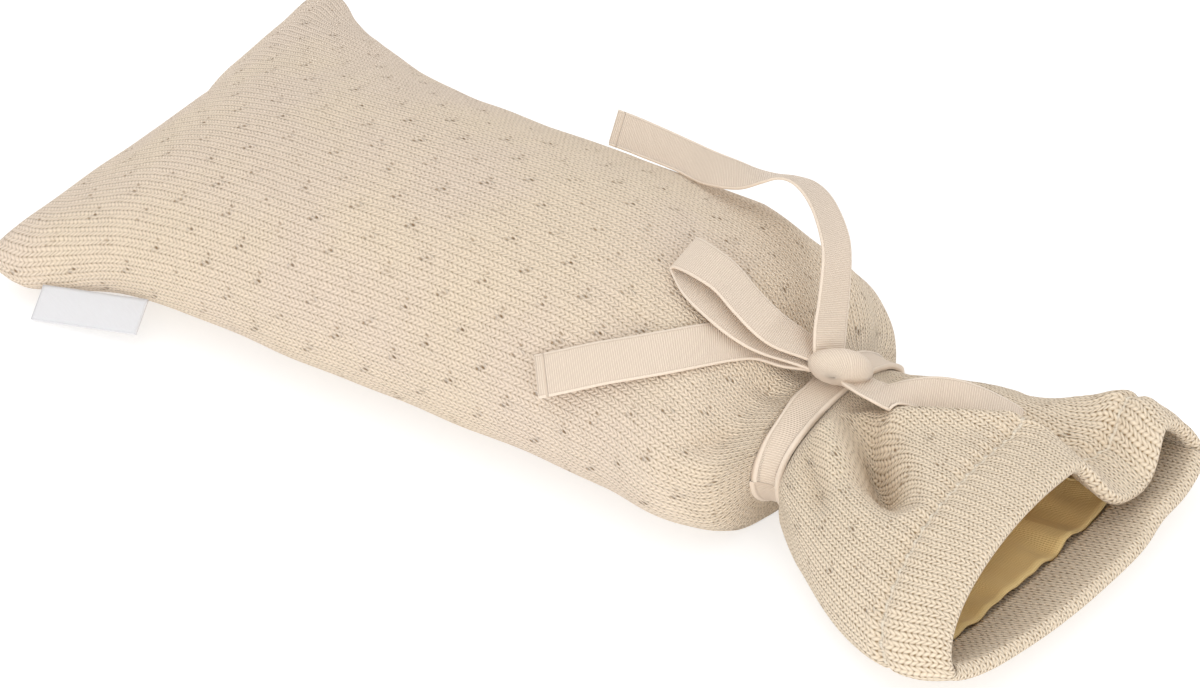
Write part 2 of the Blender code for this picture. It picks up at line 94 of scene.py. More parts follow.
SECTION_COLUMNS = ("x", "y", "half", "side", "crown", "floor", "top_power", "low_power",
                   "yaw", "lean", "roll", "bow")
SECTIONS = (
    (-204.5, 21.5, 84, 17, 20.0, 13.5, 2.0, 2.0, 3.5, 0, 2.5, 9),
    (-203.5, 21.5, 92, 17, 23.5, 9.5, 2.6, 2.6, 3.5, 0, 2.5, 9),
    (-199, 21, 96, 16, 29.0, 3.5, 3.0, 3.0, 3.5, 0, 2.5, 9),
    (-190, 20, 95, 15, 34.5, 0.5, 2.8, 3.0, 3.5, 0, 2.5, 7),
    (-174, 16.5, 86.5, 17, 43.0, -1.0, 2.3, 2.8, 3.0, 0, 2.0, 4),
    (-150, 11, 76, 22, 53.0, -1.0, 2.1, 2.8, 2.0, 0, 1.0, 1),
    (-118, 6, 69, 23, 61.0, -1.0, 2.0, 3.0, 0.0, 0, 0.0, 0),
    (-80, 1, 65, 24, 67.0, -1.0, 2.0, 3.0, 0.0, 0, 0.0, 0),
    (-35, 0, 63, 24, 69.0, -1.0, 2.0, 3.0, 0.0, 0, 0.0, 0),
    (10, 0, 63, 24, 68.0, -1.0, 2.0, 3.0, 0.0, 0, 0.0, 0),
    (42, -1, 63, 24, 63.0, -1.0, 2.0, 3.0, 0.0, 0, 0.0, 0),
    (62, -2.5, 64.5, 23, 56.0, -1.0, 2.0, 3.0, 0.0, 0, 0.0, 0),
    (75, -5, 60.5, 22, 48.5, -1.0, 2.0, 3.0, 0.0, 6, 0.0, 0),
    (83.5, -6.0, 52.5, 20, 41.0, -1.0, 2.0, 3.0, 0.0, 11, 0.0, 0),
    (88.5, -5.5, 34.3, 20, 36.6, 2.0, 2.0, 2.3, 0.0, 0, 0.0, 0),
    (96.5, -5, 32.8, 20, 36.0, 2.0, 2.0, 2.3, 0.0, 0, 0.0, 0),
    (102, -8.2, 40.6, 19, 37.0, 0.5, 2.0, 2.4, 0.0, 0, 0.0, 0),
    (118, -8.3, 53.8, 15, 39.0, -1.0, 2.0, 2.6, 0.0, 0, 0.0, 0),
    (134, -11.3, 61.2, 12, 39.0, -1.0, 2.0, 2.8, 0.0, 0, 0.0, 0),
    (152, -12.4, 69.4, 11, 39.0, -1.0, 2.0, 2.8, 0.0, 0, 0.0, 0),
    (169, -10.8, 76.2, 12, 38.0, 0.5, 2.0, 2.7, 0.0, 14, 0.0, 1),
    (186, -11.3, 73.8, 14, 37.5, 6.5, 2.0, 2.4, 0.0, 27, 0.0, 6),
)
CREASE_COLUMNS = ("name", "line", "spread", "depth")
STEEP = ("mouth_valley",)  # creases with a flat floor and steep sides
STEEP_POWER = 3.5
SOFT_POWER = 2
CREASES = (
    ("mouth_valley", ((196, 26, 30), (180, 26, 30), (162, 31, 31), (146, 34, 31), (128, 38, 28)),
     13.5, (19.5, 18, 11, 4, 0)),
    ("far_lobe", ((190, 47, 26), (176, 55, 26), (166, 56, 27), (152, 50, 30), (134, 44, 30)),
     8.5, (0.5, -2.5, -4.5, -6, -1)),
    ("pocket", ((105, -12, 37), (112, -17, 37), (120, -25, 37), (128, -33, 36), (137, -40, 36),
                (148, -47, 35)), 4.7, (1, 12, 21, 20, 10, 0)),
    ("pocket_lobe", ((99, -23, 34), (106, -26, 35), (114, -32, 35), (123, -41, 33)),
     4.5, (-3, -7, -6, 0)),
    ("slit", ((102, -33, 32), (109, -40, 31), (116, -48, 30), (123, -56, 28)), 2.6, (2, 5, 5, 0)),
    ("loop_groove", ((102, 0, 37), (112, 1, 37), (124, 7, 37), (138, 15, 36), (150, 21, 35),
                     (162, 26, 33)), 6.0, (3, 7, 9, 10, 9, 2)),
    ("loop_ridge", ((108, -12, 37), (118, -8.5, 38), (128, -3, 38.5), (143, 6, 38.5),
                    (154, 14, 37), (163, 19, 35)), 4.2, (0, -3, -4.5, -5, -6, -1)),
    ("far_neck", ((106, 20, 32), (122, 28, 33), (138, 34, 32)), 8.0, (1, 2.5, 0)),
    ("far_shoulder", ((-15, 48, 52.5), (10, 47.5, 53), (30, 44, 52), (45, 36, 53), (60, 28, 48),
                      (74, 20, 41)), 7.0, (0, -0.8, -2.8, -3.0, 2, 2)),
    ("near_shoulder", ((30, -52, 44), (55, -48, 40), (70, -43, 34), (80, -37, 30)),
     6.0, (0, 2, 3, 1)),
    ("near_wrinkle", ((70, -60, 35), (77, -53, 33.4), (81, -43.5, 32), (87, -35, 30)),
     2.4, (0, 3, 4, 2)),
    ("near_swell", ((74, -61, 30), (80, -54, 28), (86, -44, 26)), 3.4, (0, -2.5, -1.5)),
    ("tail_crease", ((72, -28, 45), (79, -22.6, 39.7), (84.9, -19.7, 37), (90, -17, 36)),
     3.0, (0, 3, 4, 2)),
    ("dimple", ((31, -38, 57.5), (40, -36.6, 56.4), (49, -35.5, 55)), 4.5, (0, 2.2, 0)),
    ("far_side", ((-178, 80, 28), (-160, 72, 34), (-130, 60, 42), (-80, 52, 46), (-20, 47, 48)),
     12.0, (0, -1.8, 0.0, 0.5, -0.4)),
    ("end_dent", ((-207, 22, 24), (-196, 22, 29), (-182, 20, 37)), 11.0, (3.2, 3.0, 0)),
)
GATHER_COLUMNS = ("around", "spread", "depth", "body_reach", "mouth_reach")
GATHERS = (
    (0.06, 0.020, 2.5, 26, 34),
    (0.15, 0.018, 2.2, 20, 26),
    (0.25, 0.016, 1.8, 16, 20),
    (0.40, 0.018, 1.8, 24, 12),
    (0.50, 0.020, 2.2, 30, 10),
    (0.62, 0.020, 2.5, 22, 30),
    (0.70, 0.018, 3.0, 30, 40),
    (0.79, 0.020, 2.6, 24, 34),
    (0.88, 0.020, 3.0, 28, 42),
    (0.97, 0.018, 2.2, 22, 30),
)
HEM_LINE_X = 153.5         # the hem's stitches, near of the valley and at the height below
HEM_LINE_HEIGHT = 38.0
HEM_LINE_LEAN = 0.45       # they lie this much further forward for each step down
HEM_LINE_FAR = 7.5         # and this much further forward on the far side
HEM_LINE_TURN = (10.0, 36.0)
HEM_STITCH_DEPTH = 1.5
HEM_STITCH_SPREAD = 1.5
HEM_SWELL = 0.9
PUCKERS = 57               # small tucks along the hem's stitches
PUCKER_DEPTH = 0.45
PUCKER_REACH = 4.5
WAVE_LENGTH = 26.0         # of the soft unevenness of the cloth
WAVE_DEPTH = 0.7

# Ribbon
RIBBON_THICKNESS = 0.8
KNOT_LENGTH = 52.0         # once round the bow
RIB_PITCH = 0.72
STRAND_STEPS = 8
STRAND_ACROSS = 13
SETTLE_SPARE = 0.25
LEFT_LOOP = (
    (96, -4, 43.5, 100, -4, 9),
    (86, -5, 46.5, 106, -2, 12),
    (78.5, -11.4, 53.0, 104, 3, 15),
    (74.2, -15, 58.0, 98, 3, 15),
    (65.6, -14.3, 62.5, 96, 2, 15),
    (56.4, -11.9, 66.3, 97, 5, 15),
    (47.9, -11.1, 68.2, 95, 8, 15),
    (41.2, -9.4, 67.8, 92, 11, 15),
    (38.4, -8.6, 66.6, 91, 14, 15),
    (40.1, -9.9, 65.4, 90, 15, 15),
    (48.4, -15.3, 63.4, 91, 13, 15),
    (60.9, -18.5, 59.6, 93, 8, 15),
    (69.3, -17.6, 55.4, 95, 6, 15),
    (76.0, -14.6, 51.0, 98, 2, 14),
    (84, -8.5, 45.5, 102, -2, 11),
    (96, -4, 41.5, 105, -6, 9),
)
RIGHT_LOOP = (
    (96, -5, 42.0, 95, -10, 8),
    (101, -6.9, 41.0, 99, -24, 9),
    (105.3, -7.8, 40.8, 113, -23, 12),
    (109.7, -6.6, 40.4, 116, -16, 15),
    (113.3, -3.7, 39.6, 114, -1, 15),
    (117, 0, 38.6, 115, 16, 15),
    (121.6, 4.8, 37.8, 114, 27, 15),
    (128.1, 9.1, 37.2, 117, 26, 15),
    (135.8, 12.8, 36.0, 116, 14, 15),
    (142.5, 16.0, 33.6, 115, 4, 15),
    (146.5, 18.5, 30.5, 115, 2, 15),
    (144.5, 18.3, 28.6, 115, 4, 15),
    (137.5, 16.0, 29.5, 116, 12, 15),
    (129, 12.0, 32.0, 115, 20, 15),
    (121, 5.5, 34.8, 114, 10, 14),
    (115.4, 1.2, 36.8, 113, -4, 14),
    (110.7, -2.0, 38.6, 113, -9, 13),
    (105.4, -4.4, 40.2, 108, -4, 11),
    (97, -4.6, 41.2, 97, 3, 8),
)
FAR_TAIL = (
    (97, -5, 42, 68, -7, 9),
    (91, -4, 44.5, 72, -14, 12),
    (87, 1.5, 51, 77, -24, 15),
    (83.5, 8.5, 58, 81, -19, 15),
    (78.8, 16.8, 66.5, 85, -18, 15),
    (73.7, 22.8, 70.5, 89, -15, 15),
    (64.3, 30.8, 73.6, 97, -14, 15),
    (55.5, 36.1, 74.6, 104, -19, 15),
    (47.8, 38.4, 74, 115, -25, 15),
    (40.7, 39.4, 72, 124, -26, 15),
    (34.3, 38.8, 70.2, 129, -14, 15),
    (26.1, 39, 67.7, 126, 6, 15),
    (15.7, 41, 65.1, 119, 16, 15),
    (3, 45.1, 62.1, 113, 22, 15),
    (-10.9, 48.6, 60.1, 111, 26, 15),
    (-23.4, 50.8, 59.1, 110, 27, 15),
    (-32, 51.7, 58.6, 110, 26, 15),
)
NEAR_TAIL = (
    (96, -4, 41.0, 112, -6, 9),
    (86, -5, 42.5, 115, -4, 12),
    (78, -9.5, 45.5, 118, 6, 15),
    (71.0, -14.6, 49.3, 122, 15, 15),
    (67.2, -21.4, 51.8, 124, 22, 15),
    (62.0, -31.2, 53.4, 129, 27, 15),
    (55.2, -40.2, 53.2, 135, 28, 15),
    (47.6, -46.4, 51.5, 136, 28, 15),
    (38.4, -52.0, 48.8, 136, 29, 15),
    (29.5, -57.1, 45.5, 135, 30, 15),
    (20.5, -61.8, 42.0, 132, 30, 15),
)
STRANDS = (("ribbon_near_tail", NEAR_TAIL), ("ribbon_left_loop", LEFT_LOOP),
           ("ribbon_right_loop", RIGHT_LOOP), ("ribbon_far_tail", FAR_TAIL))
KNOT_MIDDLE = (95.4, -5.0, 44.3)
KNOT_YAW = -24.5           # of the axis that the knot is wrapped round, in degrees
KNOT_PITCH = -7.0
KNOT_ROLL = -14.0
KNOT_HALF = 6.4            # half the length of the wrap along its axis
KNOT_RADII = (10.0, 6.0)   # level and upright, at the middle of the wrap
KNOT_TAPER = 0.40          # share of its level radius that the wrap loses at its two edges
KNOT_TAPER_POWER = 2.3
KNOT_EDGE = 0.45           # half the height of its two edges, which press on the ribbon
KNOT_SWELL_POWER = 0.75
KNOT_LEAN = 12.0           # degrees by which the wrap climbs from one edge to the other
KNOT_SHOWN = 0.41          # half the share of the ribbon that shows; its edges are turned under
KNOT_AROUND = 96
KNOT_RINGS = 25
HEM_FOLD = 3.0             # a free end is turned in and stitched this far from its edge
BAND_LAP = (0.25, 0.95)    # part of the way round over which the band lies double
BAND_LAP_LIFT = 1.2
BAND_SLIP = 1.3            # the lower layer shows this much nearer to the body
NO_FOLD = 100.0            # added to the lengths of ribbon that has no free end

# Label
LABEL_LENGTH = 39.0
LABEL_DROP = 12.5
LABEL_THICKNESS = 1.0
LABEL_START_X = -174.5
LABEL_HEIGHTS = (8.7, 12.5)
LABEL_DROOP = 38.0
LABEL_CLEAR = 0.95
LABEL_POINTS = (35, 13)    # along the label and down it
NEAR_OF_ALL = -200.0       # start of the rays that find where the label is sewn on


# ---------------------------------------------------------------- meshes

def mesh_object(name, points, faces, uv, material):
    """A smooth mesh with one UV for each corner of each face."""
    mesh = bpy.data.meshes.new(name)
    mesh.from_pydata((np.asarray(points) * MM).tolist(), [], faces)
    layer = mesh.uv_layers.new(name="cloth")
    layer.data.foreach_set("uv", np.asarray(uv, np.float32).ravel())
    mesh.materials.append(material)
    mesh.shade_smooth()
    mesh.update()
    thing = bpy.data.objects.new(name, mesh)
    bpy.context.scene.collection.objects.link(thing)
    return thing


def loft(rings, across_uv, along_uv, closed_along=False):
    """Squares between closed rings, with the UV of each corner.

    across_uv holds one value for each point round a ring and one more for the seam;
    along_uv one for each ring, and one more if the loft closes on itself along its length.
    """
    count = rings.shape[1]
    total = rings.shape[0]
    faces = []
    uv = []
    for ring in range(total if closed_along else total - 1):
        following = (ring + 1) % total
        low, high = along_uv[ring], along_uv[ring + 1]
        for point in range(count):
            after = (point + 1) % count
            faces.append((ring * count + point, following * count + point,
                          following * count + after, ring * count + after))
            left, right = across_uv[point], across_uv[point + 1]
            uv += [(left, low), (left, high), (right, high), (right, low)]
    return faces, uv


def pinch(ring, count, across_uv, along, flip):
    """Squares that close a ring from its near tip to its far tip."""
    first = ring * count
    tip = count // 4
    faces = []
    uv = []
    for step in range(count // 2):
        near, far = tip + step, tip + step + 1
        corners = {(tip - step) % count: near, near: near, far: far, (tip - step - 1) % count: far}
        if len(corners) < 3:
            continue
        order = list(corners)[::-1] if flip else list(corners)
        faces.append(tuple(first + corner for corner in order))
        uv += [(across_uv[corners[corner]], along) for corner in order]
    return faces, uv


def between_rows(rows, places):
    """Smooth values of a table between its rows, without overshoot."""
    table = np.array(rows, float)
    last = len(table) - 1
    step = np.diff(table, axis=0)
    slope = np.zeros_like(table)
    slope[0] = step[0]
    slope[-1] = step[-1]
    same_way = step[1:] * step[:-1] > 0
    gentle = np.minimum(abs(step[1:] + step[:-1]) / 2,
                        EVEN_SLOPE * np.minimum(abs(step[1:]), abs(step[:-1])))
    slope[1:-1] = np.where(same_way, np.sign(step[1:]) * gentle, 0.0)
    places = np.clip(np.asarray(places, float), 0, last)
    row = np.minimum(places.astype(int), last - 1)
    part = (places - row)[:, None]
    low, high = table[row], table[row + 1]
    rise = part * part * (3 - 2 * part)
    start = part * (1 - part) ** 2
    end = part * part * (part - 1)
    return low + rise * (high - low) + start * slope[row] + end * slope[row + 1]


def section_ring(values):
    """Points round one section, evenly spaced, from the middle of its underside."""
    row = dict(zip(SECTION_COLUMNS, values))
    angle = np.linspace(-math.pi / 2, 1.5 * math.pi, TRACE + 1)
    across, up = np.cos(angle), np.sin(angle)
    power = np.where(up > 0, row["top_power"], row["low_power"])
    height = np.where(up > 0, row["crown"] - row["side"], row["side"] - row["floor"])
    y = -row["half"] * np.sign(across) * abs(across) ** (2 / power)
    z = row["side"] + height * np.sign(up) * abs(up) ** (2 / power)
    length = np.append(0, np.cumsum(np.hypot(np.diff(y), np.diff(z))))
    even = np.linspace(0, length[-1], AROUND, endpoint=False)
    y = np.interp(even, length, y)
    z = np.interp(even, length, z)
    below = np.clip((row["side"] - z) / (2 * LIP_BLEND) + 0.5, 0, 1)
    lower = below if row["x"] > MOUTH_X else 1.0
    x = row["x"] + row["bow"] * (1 - (y / row["half"]) ** 2) * lower
    x = x - math.tan(math.radians(row["yaw"])) * y
    x = x - math.tan(math.radians(row["lean"])) * (z - row["side"])
    z = z + math.tan(math.radians(row["roll"])) * y
    return np.stack([x, y + row["y"], z], axis=-1)


def ring_normals(rings):
    along = np.gradient(rings, axis=0)
    around = np.roll(rings, -1, axis=1) - np.roll(rings, 1, axis=1)
    normal = np.cross(along, around)
    return normal / np.linalg.norm(normal, axis=-1, keepdims=True)


def distance_to_line(points, line):
    """Distance from each point to a line of points, and the place along it."""
    nearest = np.full(points.shape[:-1], np.inf)
    place = np.zeros(points.shape[:-1])
    for index in range(len(line) - 1):
        start = np.array(line[index], float)
        leg = np.array(line[index + 1], float) - start
        part = np.clip((points - start) @ leg / (leg @ leg), 0, 1)
        distance = np.linalg.norm(points - start - part[..., None] * leg, axis=-1)
        closer = distance < nearest
        nearest = np.where(closer, distance, nearest)
        place = np.where(closer, index + part, place)
    return nearest, place


def gathered(rings):
    """Depth of the gathers at each point of the rings."""
    around = np.arange(AROUND) / AROUND
    x = rings[..., 0]
    depth = np.zeros(rings.shape[:2])
    for values in GATHERS:
        gather = dict(zip(GATHER_COLUMNS, values))
        away = (around - gather["around"] + 0.5) % 1 - 0.5
        reach = np.where(x < TIE_X, gather["body_reach"], gather["mouth_reach"])
        past = np.maximum(abs(x - TIE_X) - BAND_HALF, 0)
        swell = np.minimum(past / GATHER_START, 1) * np.exp(-(past / reach) ** 2)
        depth += gather["depth"] * swell * np.exp(-0.5 * (away / gather["spread"]) ** 2)
    return depth


def creased(rings):
    """The rings with the creases, swells and gathers of the cloth pressed in."""
    depth = gathered(rings)
    free = np.clip((abs(rings[..., 0] - TIE_X) - BAND_HALF) / FREE_OF_BAND, 0, 1)
    for values in CREASES:
        crease = dict(zip(CREASE_COLUMNS, values))
        distance, place = distance_to_line(rings, crease["line"])
        reach = np.interp(place, range(len(crease["depth"])), crease["depth"])
        power = STEEP_POWER if crease["name"] in STEEP else SOFT_POWER
        depth = depth + free * reach * np.exp(-0.5 * (distance / crease["spread"]) ** power)
    return rings - depth[..., None] * ring_normals(rings)


def cover_places():
    """Places in the section table at which the cover has a ring."""
    places = []
    for index in range(len(SECTIONS) - 1):
        gap = SECTIONS[index + 1][0] - SECTIONS[index][0]
        step = MOUTH_STEP if SECTIONS[index][0] > TIE_X - FINE_REACH else BODY_STEP
        cuts = max(2, math.ceil(gap / step))
        places.extend(index + cut / cuts for cut in range(cuts))
    places.append(len(SECTIONS) - 1)
    return places


def past_hem_line(rings):
    """How far each point lies in front of the hem's line of stitches."""
    low, high = HEM_LINE_TURN
    far = np.clip((rings[..., 1] - low) / (high - low), 0, 1)
    line = HEM_LINE_X + HEM_LINE_LEAN * (HEM_LINE_HEIGHT - rings[..., 2]) + HEM_LINE_FAR * far
    return rings[..., 0] - line


def hem_stitched(rings):
    """The rings with the hem's line of stitches drawn in and the hem puffed."""
    past = past_hem_line(rings)
    lip = past[-1:]
    line = np.exp(-0.5 * (past / HEM_STITCH_SPREAD) ** 2)
    puff = np.where(past > 0, np.sin(math.pi * np.clip(past / lip, 0, 1)), 0)
    tuck = np.cos(np.arange(AROUND) * 2 * math.pi * PUCKERS / AROUND)
    tuck = tuck * np.exp(-0.5 * (past / PUCKER_REACH) ** 2)
    depth = HEM_STITCH_DEPTH * line - HEM_SWELL * puff + PUCKER_DEPTH * tuck
    return rings - depth[..., None] * ring_normals(rings)


def uneven(rings):
    """The rings with the soft unevenness of hand filled cloth."""
    normals = ring_normals(rings)
    moved = rings.copy()
    for place in np.ndindex(rings.shape[:2]):
        here = Vector(rings[place]) / WAVE_LENGTH
        moved[place] += normals[place] * WAVE_DEPTH * noise.noise(here)
    return moved


def cover_rings():
    """The outer surface of the cover, and the same without its fine unevenness."""
    table = between_rows(SECTIONS, cover_places())
    plain = np.array([section_ring(row) for row in table])
    height = plain[..., 2].copy()
    plain = creased(plain)
    lean = np.tan(np.radians(table[:, SECTION_COLUMNS.index("lean")]))
    plain[..., 0] += lean[:, None] * (height - plain[..., 2])
    rings = uneven(hem_stitched(plain))
    for surface in (rings, plain):
        surface[..., 2] = np.maximum(surface[..., 2], 0)
    return rings, plain


def inset(rings, depth):
    """The rings moved inwards by a depth, kept level over a flat underside."""
    depth = np.broadcast_to(depth, rings.shape[:2])
    moved = rings - depth[..., None] * ring_normals(rings)
    lowest = rings[..., 2].min(axis=1, keepdims=True) + depth
    moved[..., 2] = np.maximum(moved[..., 2], lowest)
    return moved


def place_after(rings, start, distance):
    """Index of the first ring whose mean x lies a distance behind ring start."""
    middle = rings[..., 0].mean(axis=1)
    return int(np.argmin(abs(middle - (middle[start] - distance))))


def rim_rings(outer, inner):
    """A round lip between the last outer ring and the inner ring beside it."""
    middle = (outer + inner) / 2
    across = (outer - inner) / 2
    radius = np.linalg.norm(across, axis=-1, keepdims=True)
    forward = np.zeros_like(outer)
    forward[:, 0] = 1.0
    lip = []
    for angle in range(LIP_TURN, 180, LIP_TURN):
        turn = math.radians(angle)
        lip.append(middle + across * math.cos(turn) + forward * radius * math.sin(turn))
    return np.array(lip)


def courses(rings):
    """Number of stitches along the cover at each ring."""
    top = rings[:, AROUND // 4:3 * AROUND // 4]
    step = np.linalg.norm(np.diff(top, axis=0), axis=-1).mean(axis=1)
    return np.append(0, np.cumsum(step)) / COURSE


def make_cover(outer, plain, material):
    """The knitted pouch: one hollow body with its mouth turned in."""
    last = len(outer) - 1
    hem_end = place_after(outer, last, HEM_DEPTH)
    hem = inset(plain, HEM_THICKNESS)[hem_end:][::-1]
    lip = rim_rings(outer[-1], hem[0])
    inside = inset(plain, WALL + WAVE_DEPTH)[INNER_START:hem_end + 1:INNER_STEP][::-1]
    rings = np.concatenate([outer, lip, hem, inside])
    wale = np.linspace(0, WALES, AROUND + 1)
    course = courses(rings)
    faces, uv = loft(rings, wale, course)
    for ring, flip in ((0, False), (len(rings) - 1, True)):
        more_faces, more_uv = pinch(ring, AROUND, wale, course[ring], flip)
        faces += more_faces
        uv += more_uv
    return mesh_object("knit_cloth", rings.reshape(-1, 3), faces, uv, material)


def rumpled(rings):
    """Unevenness of the lining at each point of the rings, about -0.5 to 0.5."""
    uneven_by = np.zeros(rings.shape[:2])
    for place in np.ndindex(rings.shape[:2]):
        x, y, z = rings[place]
        uneven_by[place] = noise.noise((x / RUMPLE_LENGTH, y / RUMPLE_WIDTH, z / RUMPLE_WIDTH))
    return uneven_by


def make_lining(outer, material):
    """The woven sleeve that shows in the mouth."""
    last = len(outer) - 1
    hem_end = place_after(outer, last, HEM_DEPTH)
    neck = place_after(outer, 0, outer[0, :, 0].mean() - TIE_X)
    skin = WALL + WAVE_DEPTH + SKIN_GAP
    depth = skin + LINING_RUMPLE * np.clip(rumpled(outer) + 0.5, 0, 1)
    facing = inset(outer, depth)[neck:hem_end:LINING_STEP]
    back = inset(outer, depth + LINING_THICKNESS)[neck:hem_end:LINING_STEP][::-1]
    rings = np.concatenate([facing, back])
    across = np.linspace(0, LINING_ROUND, AROUND + 1)
    along = np.arange(len(rings) + 1) * LINING_STEP * MOUTH_STEP
    faces, uv = loft(rings, across, along, closed_along=True)
    return mesh_object("lining_cloth", rings.reshape(-1, 3), faces, uv, material)


# ---------------------------------------------------------------- ribbon

def smooth_route(rows, steps):
    """Values on a smooth curve through the rows of a route."""
    table = np.array(rows, float)
    last = len(table) - 1
    places = np.linspace(0, last, last * steps + 1)
    row = np.minimum(places.astype(int), last - 1)
    part = (places - row)[:, None]
    here, there = table[row], table[row + 1]
    start = (there - table[np.maximum(row - 1, 0)]) / 2
    end = (table[np.minimum(row + 2, last)] - here) / 2
    rise = part * part * (3 - 2 * part)
    return (here + rise * (there - here) + part * (1 - part) ** 2 * start
            + part * part * (part - 1) * end)


def ribbon_grid(rows, steps, across):
    """Points on the middle surface of a strand, and the length along and across it."""
    route = smooth_route(rows, steps)
    middle, wide = route[:, :3], route[:, 5]
    yaw, tilt = np.radians(route[:, 3]), np.radians(route[:, 4])
    side = np.stack([np.cos(tilt) * np.cos(yaw), np.cos(tilt) * np.sin(yaw), np.sin(tilt)], axis=1)
    reach = np.linspace(-0.5, 0.5, across)
    points = middle[:, None, :] + reach[None, :, None] * wide[:, None, None] * side[:, None, :]
    length = np.append(0, np.cumsum(np.linalg.norm(np.diff(middle, axis=0), axis=1)))
    return points, length, reach


def settled(points, cloth, clearance):
    """The points moved out of the cloth, to lie at least a clearance above it."""
    moved = points.copy()
    for place in np.ndindex(points.shape[:2]):
        here = Vector(points[place])
        spot, normal, _, _ = cloth.find_nearest(here)
        above = (here - spot).dot(normal)
        if above < clearance:
            moved[place] = here + normal * (clearance - above)
    return moved


def thick_sheet(name, points, across_uv, along_uv, thickness, material):
    """A closed thin body round a grid of points, with round edges across its thickness."""
    along = np.gradient(points, axis=0)
    across = np.gradient(points, axis=1)
    normal = np.cross(along, across)
    normal /= np.linalg.norm(normal, axis=-1, keepdims=True)
    top = points + normal * thickness / 2
    low = points - normal * thickness / 2
    loop = np.concatenate([top, low[:, ::-1]], axis=1)
    loop_uv = np.concatenate([across_uv, across_uv[::-1]])
    loop_uv = np.append(loop_uv, loop_uv[0])
    faces, uv = loft(loop, loop_uv, along_uv)
    count = loop.shape[1]
    half = count // 2
    for row, flip in ((0, False), (len(loop) - 1, True)):
        for column in range(half - 1):
            corners = [column, column + 1, count - 2 - column, count - 1 - column]
            corners = corners[::-1] if flip else corners
            faces.append(tuple(row * count + corner for corner in corners))
            uv += [(loop_uv[corner], along_uv[row]) for corner in corners]
    return mesh_object(name, loop.reshape(-1, 3), faces, uv, material)


def make_strand(name, rows, cloth, material):
    points, length, reach = ribbon_grid(rows, STRAND_STEPS, STRAND_ACROSS)
    to_end = length[-1] - length + (0 if name.endswith("tail") else NO_FOLD)
    points = settled(points, cloth, RIBBON_THICKNESS / 2 + SKIN_GAP + SETTLE_SPARE)
    strand = thick_sheet(name, points, reach, to_end, RIBBON_THICKNESS, material)
    return strand, length[-1]


def make_band(outer, material):
    """The ribbon round the neck."""
    middle = outer[..., 0].mean(axis=1)
    bound = (middle > TIE_X - BAND_HALF) & (middle < TIE_X + BAND_HALF)
    around = np.arange(AROUND) / AROUND
    double = (around > BAND_LAP[0]) & (around < BAND_LAP[1])
    facing = inset(outer, -SKIN_GAP - RIBBON_THICKNESS)[bound]
    facing = facing + np.where(double, BAND_LAP_LIFT, 0)[:, None] * ring_normals(outer)[bound]
    facing[..., 0] -= np.where(double, 0, BAND_SLIP)
    facing[..., 2] = np.maximum(facing[..., 2], 0)
    back = inset(outer, -SKIN_GAP)[bound][::-1]
    rings = np.concatenate([facing, back])
    step = np.linalg.norm(np.diff(facing[len(facing) // 2], axis=0), axis=-1).mean()
    across = NO_FOLD + np.arange(AROUND + 1) * step
    spread = np.linspace(-0.5, 0.5, len(facing))
    along = np.concatenate([spread, spread[::-1], spread[:1]])
    faces, uv = loft(rings, across, along, closed_along=True)
    uv = [(wide, far) for far, wide in uv]
    return mesh_object("ribbon_band", rings.reshape(-1, 3), faces, uv, material)


def knot_ring(place):
    """One turn of the knot's wrap, at a place from -1 to 1 along its axis."""
    angle = math.pi / 2 - np.linspace(0, 2 * math.pi, KNOT_AROUND, endpoint=False)
    level = KNOT_RADII[0] * (1 - KNOT_TAPER * abs(place) ** KNOT_TAPER_POWER) * np.cos(angle)
    swell = KNOT_EDGE + (KNOT_RADII[1] - KNOT_EDGE) * (1 - place ** 2) ** KNOT_SWELL_POWER
    axis = place * KNOT_HALF + math.tan(math.radians(KNOT_LEAN)) * level
    return np.stack([axis, level, swell * np.sin(angle)], axis=1)


def make_knot(material):
    """The ribbon wrapped once over the middle of the bow."""
    places = np.linspace(-1, 1, KNOT_RINGS)
    rings = [knot_ring(place) for place in places]
    turn = Matrix.Rotation(math.radians(KNOT_YAW), 3, "Z")
    turn = turn @ Matrix.Rotation(math.radians(-KNOT_PITCH), 3, "Y")
    turn = turn @ Matrix.Rotation(math.radians(KNOT_ROLL), 3, "X")
    rings = np.array(rings) @ np.array(turn.transposed()) + KNOT_MIDDLE
    around = NO_FOLD + np.linspace(0, KNOT_LENGTH, KNOT_AROUND + 1)
    faces, uv = loft(rings, around, places * KNOT_SHOWN)
    for ring, flip in ((0, False), (KNOT_RINGS - 1, True)):
        more_faces, more_uv = pinch(ring, KNOT_AROUND, around, places[ring] * KNOT_SHOWN, flip)
        faces += more_faces
        uv += more_uv
    uv = [(wide, far) for far, wide in uv]
    return mesh_object("ribbon_knot", rings.reshape(-1, 3), faces, uv, material)


def make_label(cloth, material):
    """A bare folded strip that hangs from the near side."""
    droop = math.radians(LABEL_DROOP)
    sewn = []
    for x, z in zip((LABEL_START_X, LABEL_START_X + LABEL_LENGTH), LABEL_HEIGHTS):
        spot = cloth.ray_cast(Vector((x, NEAR_OF_ALL, z)), Vector((0, 1, 0)))[0]
        sewn.append(np.array(spot) - (0, LABEL_CLEAR, 0))
    along = (sewn[1] - sewn[0]) / np.linalg.norm(sewn[1] - sewn[0])
    out = np.array([along[1], -along[0], 0.0])
    down = out * math.cos(droop) + np.array([0, 0, -math.sin(droop)])
    parts = np.linspace(0, 1, LABEL_POINTS[0])
    drops = np.linspace(0, 1, LABEL_POINTS[1])
    points = np.array([[sewn[0] + along * LABEL_LENGTH * part + down * LABEL_DROP * drop
                        for drop in drops] for part in parts])
    return thick_sheet("label_tape", points, drops - 0.5, parts * LABEL_LENGTH,
                       LABEL_THICKNESS, material)


# ---------------------------------------------------------------- materials

